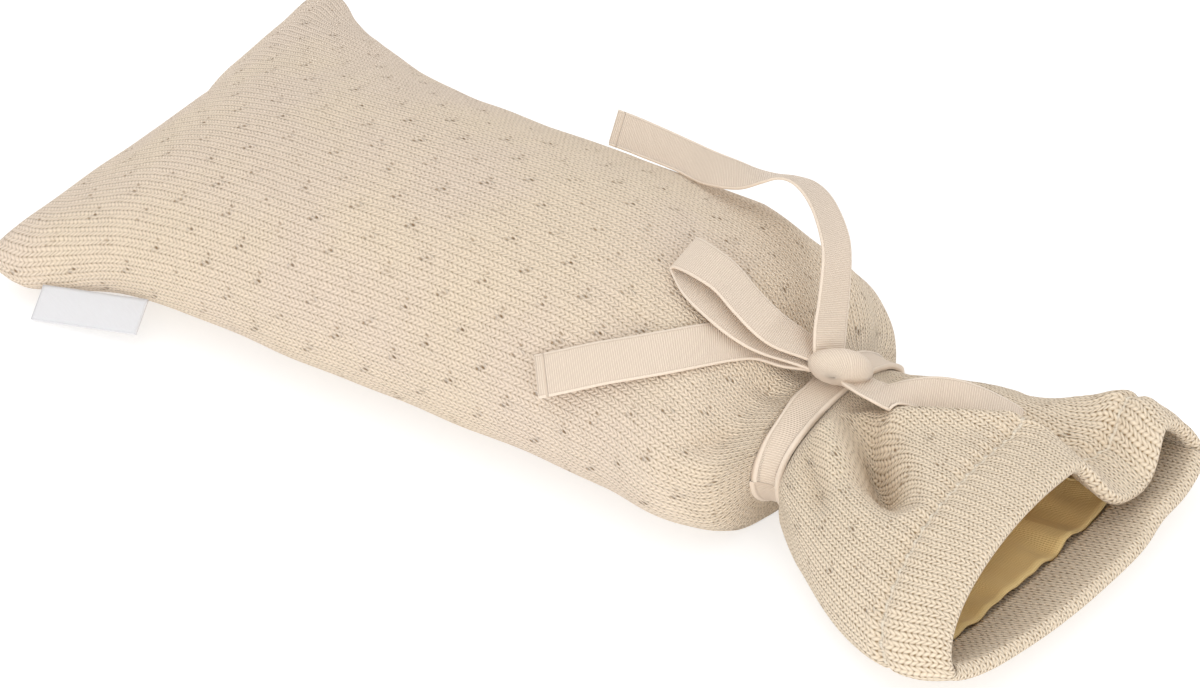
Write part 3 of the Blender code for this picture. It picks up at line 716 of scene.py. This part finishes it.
class Graph:
    """Short names for the shader nodes of one material."""

    def __init__(self, name, roughness, sheen):
        self.material = bpy.data.materials.new(name)
        self.material.use_nodes = True
        self.tree = self.material.node_tree
        self.shader = self.tree.nodes["Principled BSDF"]
        self.shader.inputs["Roughness"].default_value = roughness
        self.shader.inputs["Specular IOR Level"].default_value = 0.15
        self.shader.inputs["Sheen Weight"].default_value = sheen
        self.shader.inputs["Sheen Roughness"].default_value = 0.5

    def link(self, value, socket):
        if isinstance(value, bpy.types.NodeSocket):
            self.tree.links.new(value, socket)
        else:
            socket.default_value = value

    def math(self, operation, *values):
        node = self.tree.nodes.new("ShaderNodeMath")
        node.operation = operation
        for value, socket in zip(values, node.inputs):
            self.link(value, socket)
        return node.outputs[0]

    def add(self, a, b):
        return self.math("ADD", a, b)

    def less(self, a, b):
        return self.math("SUBTRACT", a, b)

    def times(self, a, b):
        return self.math("MULTIPLY", a, b)

    def power(self, a, b):
        return self.math("POWER", a, b)

    def fract(self, a):
        return self.math("FRACT", a)

    def wave(self, a):
        """0 to 1 and back once for each whole step of a."""
        return self.times(self.add(self.math("COSINE", self.times(a, 2 * math.pi)), 1.0), 0.5)

    def ramp(self, value, low, high):
        """0 below low, 1 above high, smooth between."""
        node = self.tree.nodes.new("ShaderNodeMapRange")
        node.interpolation_type = "SMOOTHSTEP"
        for key, given in (("Value", value), ("From Min", low), ("From Max", high)):
            self.link(given, node.inputs[key])
        return node.outputs["Result"]

    def mix(self, share, first, second):
        node = self.tree.nodes.new("ShaderNodeMix")
        node.data_type = "RGBA"
        self.link(share, node.inputs["Factor"])
        for value, socket in ((first, node.inputs["A"]), (second, node.inputs["B"])):
            socket = [s for s in node.inputs if s.name == socket.name and s.type == "RGBA"][0]
            if isinstance(value, tuple):
                socket.default_value = (*value, 1.0)
            else:
                self.tree.links.new(value, socket)
        return [s for s in node.outputs if s.type == "RGBA"][0]

    def cloth_uv(self):
        node = self.tree.nodes.new("ShaderNodeUVMap")
        node.uv_map = "cloth"
        parts = self.tree.nodes.new("ShaderNodeSeparateXYZ")
        self.tree.links.new(node.outputs["UV"], parts.inputs["Vector"])
        return parts.outputs["X"], parts.outputs["Y"]

    def place(self):
        """The place on the object, in millimetres."""
        node = self.tree.nodes.new("ShaderNodeTexCoord")
        parts = self.tree.nodes.new("ShaderNodeSeparateXYZ")
        self.tree.links.new(node.outputs["Object"], parts.inputs["Vector"])
        return [self.times(parts.outputs[axis], 1 / MM) for axis in "XYZ"]

    def noise(self, scale, detail=2.0, vector=None):
        node = self.tree.nodes.new("ShaderNodeTexNoise")
        node.inputs["Scale"].default_value = scale
        node.inputs["Detail"].default_value = detail
        if vector is None:
            place = self.tree.nodes.new("ShaderNodeTexCoord")
            vector = place.outputs["Object"]
        self.tree.links.new(vector, node.inputs["Vector"])
        return node.outputs["Fac"]

    def pair(self, x, y, z=0.0):
        node = self.tree.nodes.new("ShaderNodeCombineXYZ")
        for value, socket in zip((x, y, z), node.inputs):
            self.link(value, socket)
        return node.outputs["Vector"]

    def random(self, vector):
        node = self.tree.nodes.new("ShaderNodeTexWhiteNoise")
        node.noise_dimensions = "3D"
        self.tree.links.new(vector, node.inputs["Vector"])
        return node.outputs["Value"]

    def finish(self, colour, height, depth):
        """Connect the colour and a height map whose full range is depth, in millimetres."""
        bump = self.tree.nodes.new("ShaderNodeBump")
        bump.inputs["Strength"].default_value = 1.0
        bump.inputs["Distance"].default_value = depth * MM
        self.link(height, bump.inputs["Height"])
        self.link(colour, self.shader.inputs["Base Color"])
        self.link(bump.outputs["Normal"], self.shader.inputs["Normal"])
        return self.material


KNIT_LIGHT = (0.89, 0.74, 0.57)
# painted shade in the gaps between the stitches and between the courses
KNIT_GAP_SHADE = (0.28, 0.175, 0.075)
KNIT_ROSE = (0.87, 0.72, 0.58)
KNIT_THREAD = (0.95, 0.84, 0.68)
# painted shade inside the small holes of the motif
MOTIF_HOLE_SHADE = (0.25, 0.12, 0.02)
KNIT_PAINTED_LIGHT = (0.945, 0.795, 0.61)  # painted light over the shade of the neck and the frill
LEG_RISE = 0.85            # how far a stitch's legs run back, in stitches
SWAY = (170.0, 0.22)       # fineness and width, in columns, of the columns' sway
DRIFT = (260.0, 1.1)       # fineness and length, in stitches, of the stitches' unevenness
OPEN_FROM = (40.0, 150.0)  # places along the cover between which the knit is drawn open, and the painted shade in its gaps grows deeper
PAINTED_LIGHT_FROM = (40.0, 105.0)  # and between which painted light makes it paler
KNIT_DEPTH = 0.75          # of the height map, in millimetres
MOTIF_WALES = 3            # columns from one column of motifs to the next
MOTIF_COURSES = 13         # stitches from one motif to the next in a column
MOTIF_SLANT = 20.0         # degrees between the small holes and the columns
MOTIF_SPREAD = (0.50, 1.15)  # half width and half length of a hole, in millimetres
WALE = 2.9                 # width of a column, in millimetres
MOTIF_HOLES = (            # column, stitch and strength of each small hole of a motif, whose inside is painted shade
    (0.0, 0.0, 1.0),
    (-0.4, -1.15, 0.75),
    (0.9, -0.3, 0.65),
    (-0.5, 1.3, 0.3),
)
MOTIF_BUMPS = (            # and of each raised stitch
    (-0.15, -0.75, 1.0),
    (0.3, 0.7, 0.8),
)


def motif_field(graph, u, v, marks):
    """1 at the middle of each mark of the repeated motif, 0 away from it."""
    column = graph.math("FLOOR", graph.math("DIVIDE", u, float(MOTIF_WALES)))
    odd = graph.math("MODULO", column, 2.0)
    shifted = graph.add(v, graph.times(odd, MOTIF_COURSES / 2))
    cell = graph.math("FLOOR", graph.math("DIVIDE", shifted, float(MOTIF_COURSES)))
    wale = graph.times(graph.less(graph.fract(graph.math("DIVIDE", u, float(MOTIF_WALES))), 0.5),
                       float(MOTIF_WALES))
    course = graph.times(graph.less(graph.fract(graph.math("DIVIDE", shifted,
                                                           float(MOTIF_COURSES))), 0.5),
                         float(MOTIF_COURSES))
    slant = math.radians(MOTIF_SLANT)
    field = None
    for index, (at_wale, at_course, strength) in enumerate(marks):
        chance = graph.random(graph.pair(column, cell, float(index)))
        across = graph.times(graph.less(wale, at_wale), WALE)
        along = graph.times(graph.less(course, at_course), COURSE)
        narrow = graph.add(graph.times(across, math.cos(slant) / MOTIF_SPREAD[0]),
                           graph.times(along, math.sin(slant) / MOTIF_SPREAD[0]))
        long = graph.less(graph.times(along, math.cos(slant) / MOTIF_SPREAD[1]),
                          graph.times(across, math.sin(slant) / MOTIF_SPREAD[1]))
        distance = graph.math("SQRT", graph.add(graph.times(narrow, narrow),
                                                graph.times(long, long)))
        spot = graph.times(graph.ramp(distance, 1.15, 0.2), strength)
        spot = graph.times(spot, graph.ramp(chance, -0.2, 0.9))
        field = spot if field is None else graph.math("MAXIMUM", field, spot)
    return field


def past_hem_nodes(graph, x, y, z):
    """How far a place lies in front of the hem's line of stitches."""
    low, high = HEM_LINE_TURN
    far = graph.math("MAXIMUM", 0.0, graph.times(graph.less(y, low), 1 / (high - low)))
    far = graph.math("MINIMUM", 1.0, far)
    line = graph.add(HEM_LINE_X, graph.times(graph.less(HEM_LINE_HEIGHT, z), HEM_LINE_LEAN))
    return graph.less(graph.less(x, line), graph.times(far, HEM_LINE_FAR))


def stitch_nodes(graph, u, v):
    """The strands of the V stitches, and masks of the painted shade in the gaps between them and
    of the darker dashes of painted shade in the gaps.
    """
    u = graph.add(u, graph.times(graph.less(graph.noise(SWAY[0]), 0.5), SWAY[1]))
    v = graph.add(v, graph.times(graph.less(graph.noise(DRIFT[0]), 0.5), DRIFT[1]))
    aside = graph.math("ABSOLUTE", graph.less(graph.times(graph.fract(u), 2.0), 1.0))
    climbed = graph.add(v, graph.times(aside, LEG_RISE))
    strand = graph.math("SINE", graph.times(graph.fract(climbed), math.pi))
    stitch = graph.pair(graph.math("FLOOR", graph.times(u, 2.0)), graph.math("FLOOR", climbed))
    chance = graph.random(stitch)
    gap = graph.add(graph.power(aside, 4.0),
                    graph.times(graph.power(graph.less(1.0, aside), 3.5), 0.7))
    dash = graph.times(graph.ramp(strand, 0.85, 0.15), graph.add(graph.times(chance, 0.9), 0.3))
    return strand, gap, dash


def knit_colour(graph, x, dark, thread, holes):
    """Beige yarn, with painted shade in its gaps, and painted light that makes it paler towards
    the mouth, over the shade of the neck and the frill.
    """
    tone = graph.mix(graph.ramp(graph.noise(20.0), 0.35, 0.65), KNIT_LIGHT, KNIT_ROSE)
    # painted light: paler towards the neck and the frill, over the shade of their folds
    tone = graph.mix(graph.ramp(x, *PAINTED_LIGHT_FROM), tone, KNIT_PAINTED_LIGHT)
    colour = graph.mix(graph.math("MINIMUM", dark, 1.0), tone, KNIT_GAP_SHADE)
    colour = graph.mix(thread, colour, KNIT_THREAD)
    # painted shade in the small holes of the motif
    return graph.mix(graph.times(holes, 0.9), colour, MOTIF_HOLE_SHADE)


def knit_material(last_course):
    """Stockinette: columns of V stitches, with the small motif up to the hem's stitches."""
    graph = Graph("knit", 0.92, 0.25)
    u, v = graph.cloth_uv()
    x, y, z = graph.place()
    past = past_hem_nodes(graph, x, y, z)
    outside = graph.ramp(v, last_course, last_course - 0.5)
    before_hem = graph.times(graph.ramp(past, -1.5, -3.0), outside)
    thread = graph.times(graph.ramp(graph.math("ABSOLUTE", past), 0.8, 0.35), outside)
    thread = graph.times(thread, graph.add(graph.times(graph.wave(u), 0.5), 0.5))
    strand, gap, dash = stitch_nodes(graph, u, v)
    holes = graph.times(motif_field(graph, u, v, MOTIF_HOLES), before_hem)
    bumps = graph.times(motif_field(graph, u, v, MOTIF_BUMPS), before_hem)
    openness = graph.add(0.8, graph.times(graph.ramp(x, *OPEN_FROM), 0.6))
    # painted shade in the gaps between the stitches and in their dark dashes, deeper where the
    # knit is drawn open, plus painted shade between the courses, taken off under the raised
    # stitches of the motif
    dark = graph.times(graph.times(gap, graph.add(graph.times(dash, 0.95), 0.26)), openness)
    dark = graph.add(dark, graph.times(graph.less(1.0, strand), 0.07))
    dark = graph.times(dark, graph.less(1.0, graph.times(bumps, 0.8)))
    height = graph.times(graph.less(1.0, graph.times(gap, 0.8)),
                         graph.add(graph.times(strand, 0.55), 0.45))
    height = graph.add(height, graph.times(bumps, 0.8))
    height = graph.less(height, graph.times(holes, 0.9))
    height = graph.add(height, graph.times(thread, 0.5))
    height = graph.add(height, graph.times(graph.noise(2600.0, 3.0), 0.4))
    return graph.finish(knit_colour(graph, x, dark, thread, holes), height, KNIT_DEPTH)


RIBBON_LIGHT = (0.85, 0.72, 0.59)
# painted shade between the ribs, and the colour of the darker line beside each edge and of the
# stitched fold
RIBBON_SHADE_AND_LINES = (0.58, 0.45, 0.34)
RIBBON_EDGE = (0.445, 0.475)  # from the middle, in widths: start of the firm edge, and all of it
EDGE_LINE = (0.42, 0.44, 0.45, 0.47)  # start, full, end and past of the line beside it
RIBBON_THREADS = 34.0         # across the ribbon
RIBBON_DEPTH = 0.22           # of the height map, in millimetres


def ribbon_material():
    """Ribbed ribbon: fine ribs across it with painted shade between them, and a firm edge."""
    graph = Graph("ribbon", 0.7, 0.15)
    wide, far = graph.cloth_uv()
    aside = graph.math("ABSOLUTE", wide)
    rib = graph.wave(graph.times(far, 1 / RIB_PITCH))
    fold = graph.times(graph.ramp(far, HEM_FOLD - 0.5, HEM_FOLD - 0.1),
                       graph.ramp(far, HEM_FOLD + 0.5, HEM_FOLD + 0.1))
    edge = graph.ramp(aside, *RIBBON_EDGE)
    flat = graph.less(1.0, edge)
    thread = graph.wave(graph.times(wide, RIBBON_THREADS))
    height = graph.add(graph.times(rib, graph.times(flat, 0.8)), graph.times(edge, 0.9))
    height = graph.add(height, graph.times(graph.times(thread, flat), 0.15))
    height = graph.add(height, graph.times(graph.noise(3200.0), 0.25))
    height = graph.less(height, graph.times(fold, 1.5))
    # painted shade in the valleys between the ribs; darker too along a line beside each edge and
    # at the stitched fold
    dark = graph.times(graph.less(1.0, rib), graph.times(flat, 0.55))
    line = graph.times(graph.ramp(aside, *EDGE_LINE[:2]),
                       graph.less(1.0, graph.ramp(aside, *EDGE_LINE[2:])))
    dark = graph.math("MAXIMUM", dark, graph.times(line, 0.5))
    dark = graph.math("MAXIMUM", dark, graph.times(fold, 0.6))
    colour = graph.mix(dark, RIBBON_LIGHT, RIBBON_SHADE_AND_LINES)
    return graph.finish(colour, height, RIBBON_DEPTH)


LINING_LIGHT = (0.96, 0.72, 0.34)
LINING_SHADE = tuple(c * 0.82 for c in LINING_LIGHT)
# painted shade between the threads of the weave
LINING_WEAVE_SHADE = (0.66, 0.45, 0.18)
LINING_PITCH = 0.75        # of its threads, in millimetres
LINING_DEPTH = 0.16


def lining_material():
    """Plain weave in soft, uneven yellow brown, with painted shade between its threads."""
    graph = Graph("lining", 0.85, 0.1)
    across, along = graph.cloth_uv()
    warp = graph.wave(graph.times(across, 1 / LINING_PITCH))
    weft = graph.wave(graph.times(along, 1 / LINING_PITCH))
    cross = graph.times(warp, weft)
    height = graph.add(graph.times(warp, 0.6), graph.times(weft, 0.4))
    height = graph.add(height, graph.times(graph.noise(2500.0), 0.3))
    tone = graph.mix(graph.ramp(graph.noise(45.0), 0.3, 0.7), LINING_LIGHT, LINING_SHADE)
    colour = graph.mix(graph.times(graph.less(1.0, cross), 0.45), tone, LINING_WEAVE_SHADE)
    return graph.finish(colour, height, LINING_DEPTH)


LABEL_LIGHT = (0.79, 0.785, 0.80)
# painted shade between the threads of the weave
LABEL_WEAVE_SHADE = (0.60, 0.595, 0.61)
LABEL_THREADS = 36.0       # down the label
LABEL_PITCH = 0.5          # of the threads along it, in millimetres
LABEL_DEPTH = 0.06


def label_material():
    """Fine plain weave in white, with painted shade between its threads."""
    graph = Graph("label", 0.75, 0.1)
    across, along = graph.cloth_uv()
    warp = graph.wave(graph.times(across, LABEL_THREADS))
    weft = graph.wave(graph.times(along, 1 / LABEL_PITCH))
    height = graph.add(warp, weft)
    colour = graph.mix(graph.times(graph.less(1.0, graph.times(warp, weft)), 0.18),
                       LABEL_LIGHT, LABEL_WEAVE_SHADE)
    return graph.finish(colour, height, LABEL_DEPTH)


FLOOR_LIGHT = (0.56, 0.56, 0.56)
FLOOR_DEEP = (0.50, 0.50, 0.50)
FLOOR_GLOW = 0.55          # keeps the floor white but for the soft shadow
FLOOR_HALF = 4000.0        # half the side of the floor, in millimetres


def floor_material():
    """The bright studio floor."""
    graph = Graph("floor", 0.9, 0.0)
    speck = graph.noise(300.0)
    colour = graph.mix(graph.times(speck, 0.04), FLOOR_LIGHT, FLOOR_DEEP)
    graph.shader.inputs["Emission Color"].default_value = (1, 1, 1, 1)
    graph.shader.inputs["Emission Strength"].default_value = FLOOR_GLOW
    return graph.finish(colour, speck, 0.01)


# ---------------------------------------------------------------- studio

def camera_axes():
    azimuth, elevation = math.radians(CAMERA_AZIMUTH), math.radians(CAMERA_ELEVATION)
    back = Vector((math.sin(azimuth) * math.cos(elevation),
                   -math.cos(azimuth) * math.cos(elevation), math.sin(elevation)))
    right = Vector((math.cos(azimuth), math.sin(azimuth), 0))
    return right, back.cross(right), back


def make_camera():
    right, up, back = camera_axes()
    data = bpy.data.cameras.new("photo_camera")
    data.lens = CAMERA_LENS
    data.sensor_width = CAMERA_SENSOR
    data.clip_end = CAMERA_REACH
    camera = bpy.data.objects.new("photo_camera", data)
    place = Vector(CAMERA_TARGET) + back * CAMERA_DISTANCE
    turn = Matrix((right, up, back)).transposed().to_4x4()
    camera.matrix_world = Matrix.Translation(place) @ turn
    bpy.context.scene.collection.objects.link(camera)
    bpy.context.scene.camera = camera


LIGHT_COLUMNS = ("name", "place", "size", "watts")
LIGHTS = (
    ("top_light", (-0.7, 0.2, 1.6), 1.6, 4),
    ("front_light", (0.5, -1.6, 0.6), 1.4, 6),
    ("mouth_light", (1.5, -0.9, 0.45), 0.8, 5),
)
WORLD_STRENGTH = 0.93


def make_lights():
    for values in LIGHTS:
        row = dict(zip(LIGHT_COLUMNS, values))
        data = bpy.data.lights.new(row["name"], "AREA")
        data.shape = "DISK"
        data.size = row["size"]
        data.energy = row["watts"]
        light = bpy.data.objects.new(row["name"], data)
        light.location = row["place"]
        light.rotation_euler = (-Vector(row["place"])).to_track_quat("-Z", "Y").to_euler()
        bpy.context.scene.collection.objects.link(light)
    world = bpy.data.worlds.new("studio")
    world.use_nodes = True
    background = world.node_tree.nodes["Background"]
    background.inputs["Color"].default_value = (1, 1, 1, 1)
    background.inputs["Strength"].default_value = WORLD_STRENGTH
    bpy.context.scene.world = world


def make_floor():
    near, far = -FLOOR_HALF, FLOOR_HALF
    points = [(near, near, 0), (far, near, 0), (far, far, 0), (near, far, 0)]
    uv = [(0, 0), (1, 0), (1, 1), (0, 1)]
    floor = mesh_object("floor", points, [(0, 1, 2, 3)], uv, floor_material())
    return floor


# ---------------------------------------------------------------- assembly

def dress(piece, node):
    """Tie a piece to the one body and hide the solid that it stands for."""
    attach(piece, "root")
    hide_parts(node)


def make_tie(outer, cloth):
    """The band and its knot, the two loops and the two tails."""
    finish = ribbon_material()
    band = make_band(outer, finish)
    knot = make_knot(finish)
    dress(band, "ribbon_tie")
    dress(knot, "ribbon_tie")
    for name, rows in STRANDS:
        strand, length = make_strand(name, rows, cloth, finish)
        dress(strand, "ribbon_tie")


def main():
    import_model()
    bpy.context.scene.view_settings.view_transform = "Standard"
    make_camera()
    make_lights()
    make_floor()
    outer, plain = cover_rings()
    squares = loft(outer, np.zeros(AROUND + 1), np.zeros(len(outer)))[0]
    cloth = BVHTree.FromPolygons(outer.reshape(-1, 3).tolist(), squares)
    knit = make_cover(outer, plain, knit_material(float(courses(outer)[-1])))
    dress(knit, "knit_cover")
    lining = make_lining(plain, lining_material())
    dress(lining, "mouth_lining")
    make_tie(outer, cloth)
    label = make_label(cloth, label_material())
    dress(label, "side_label")


main()
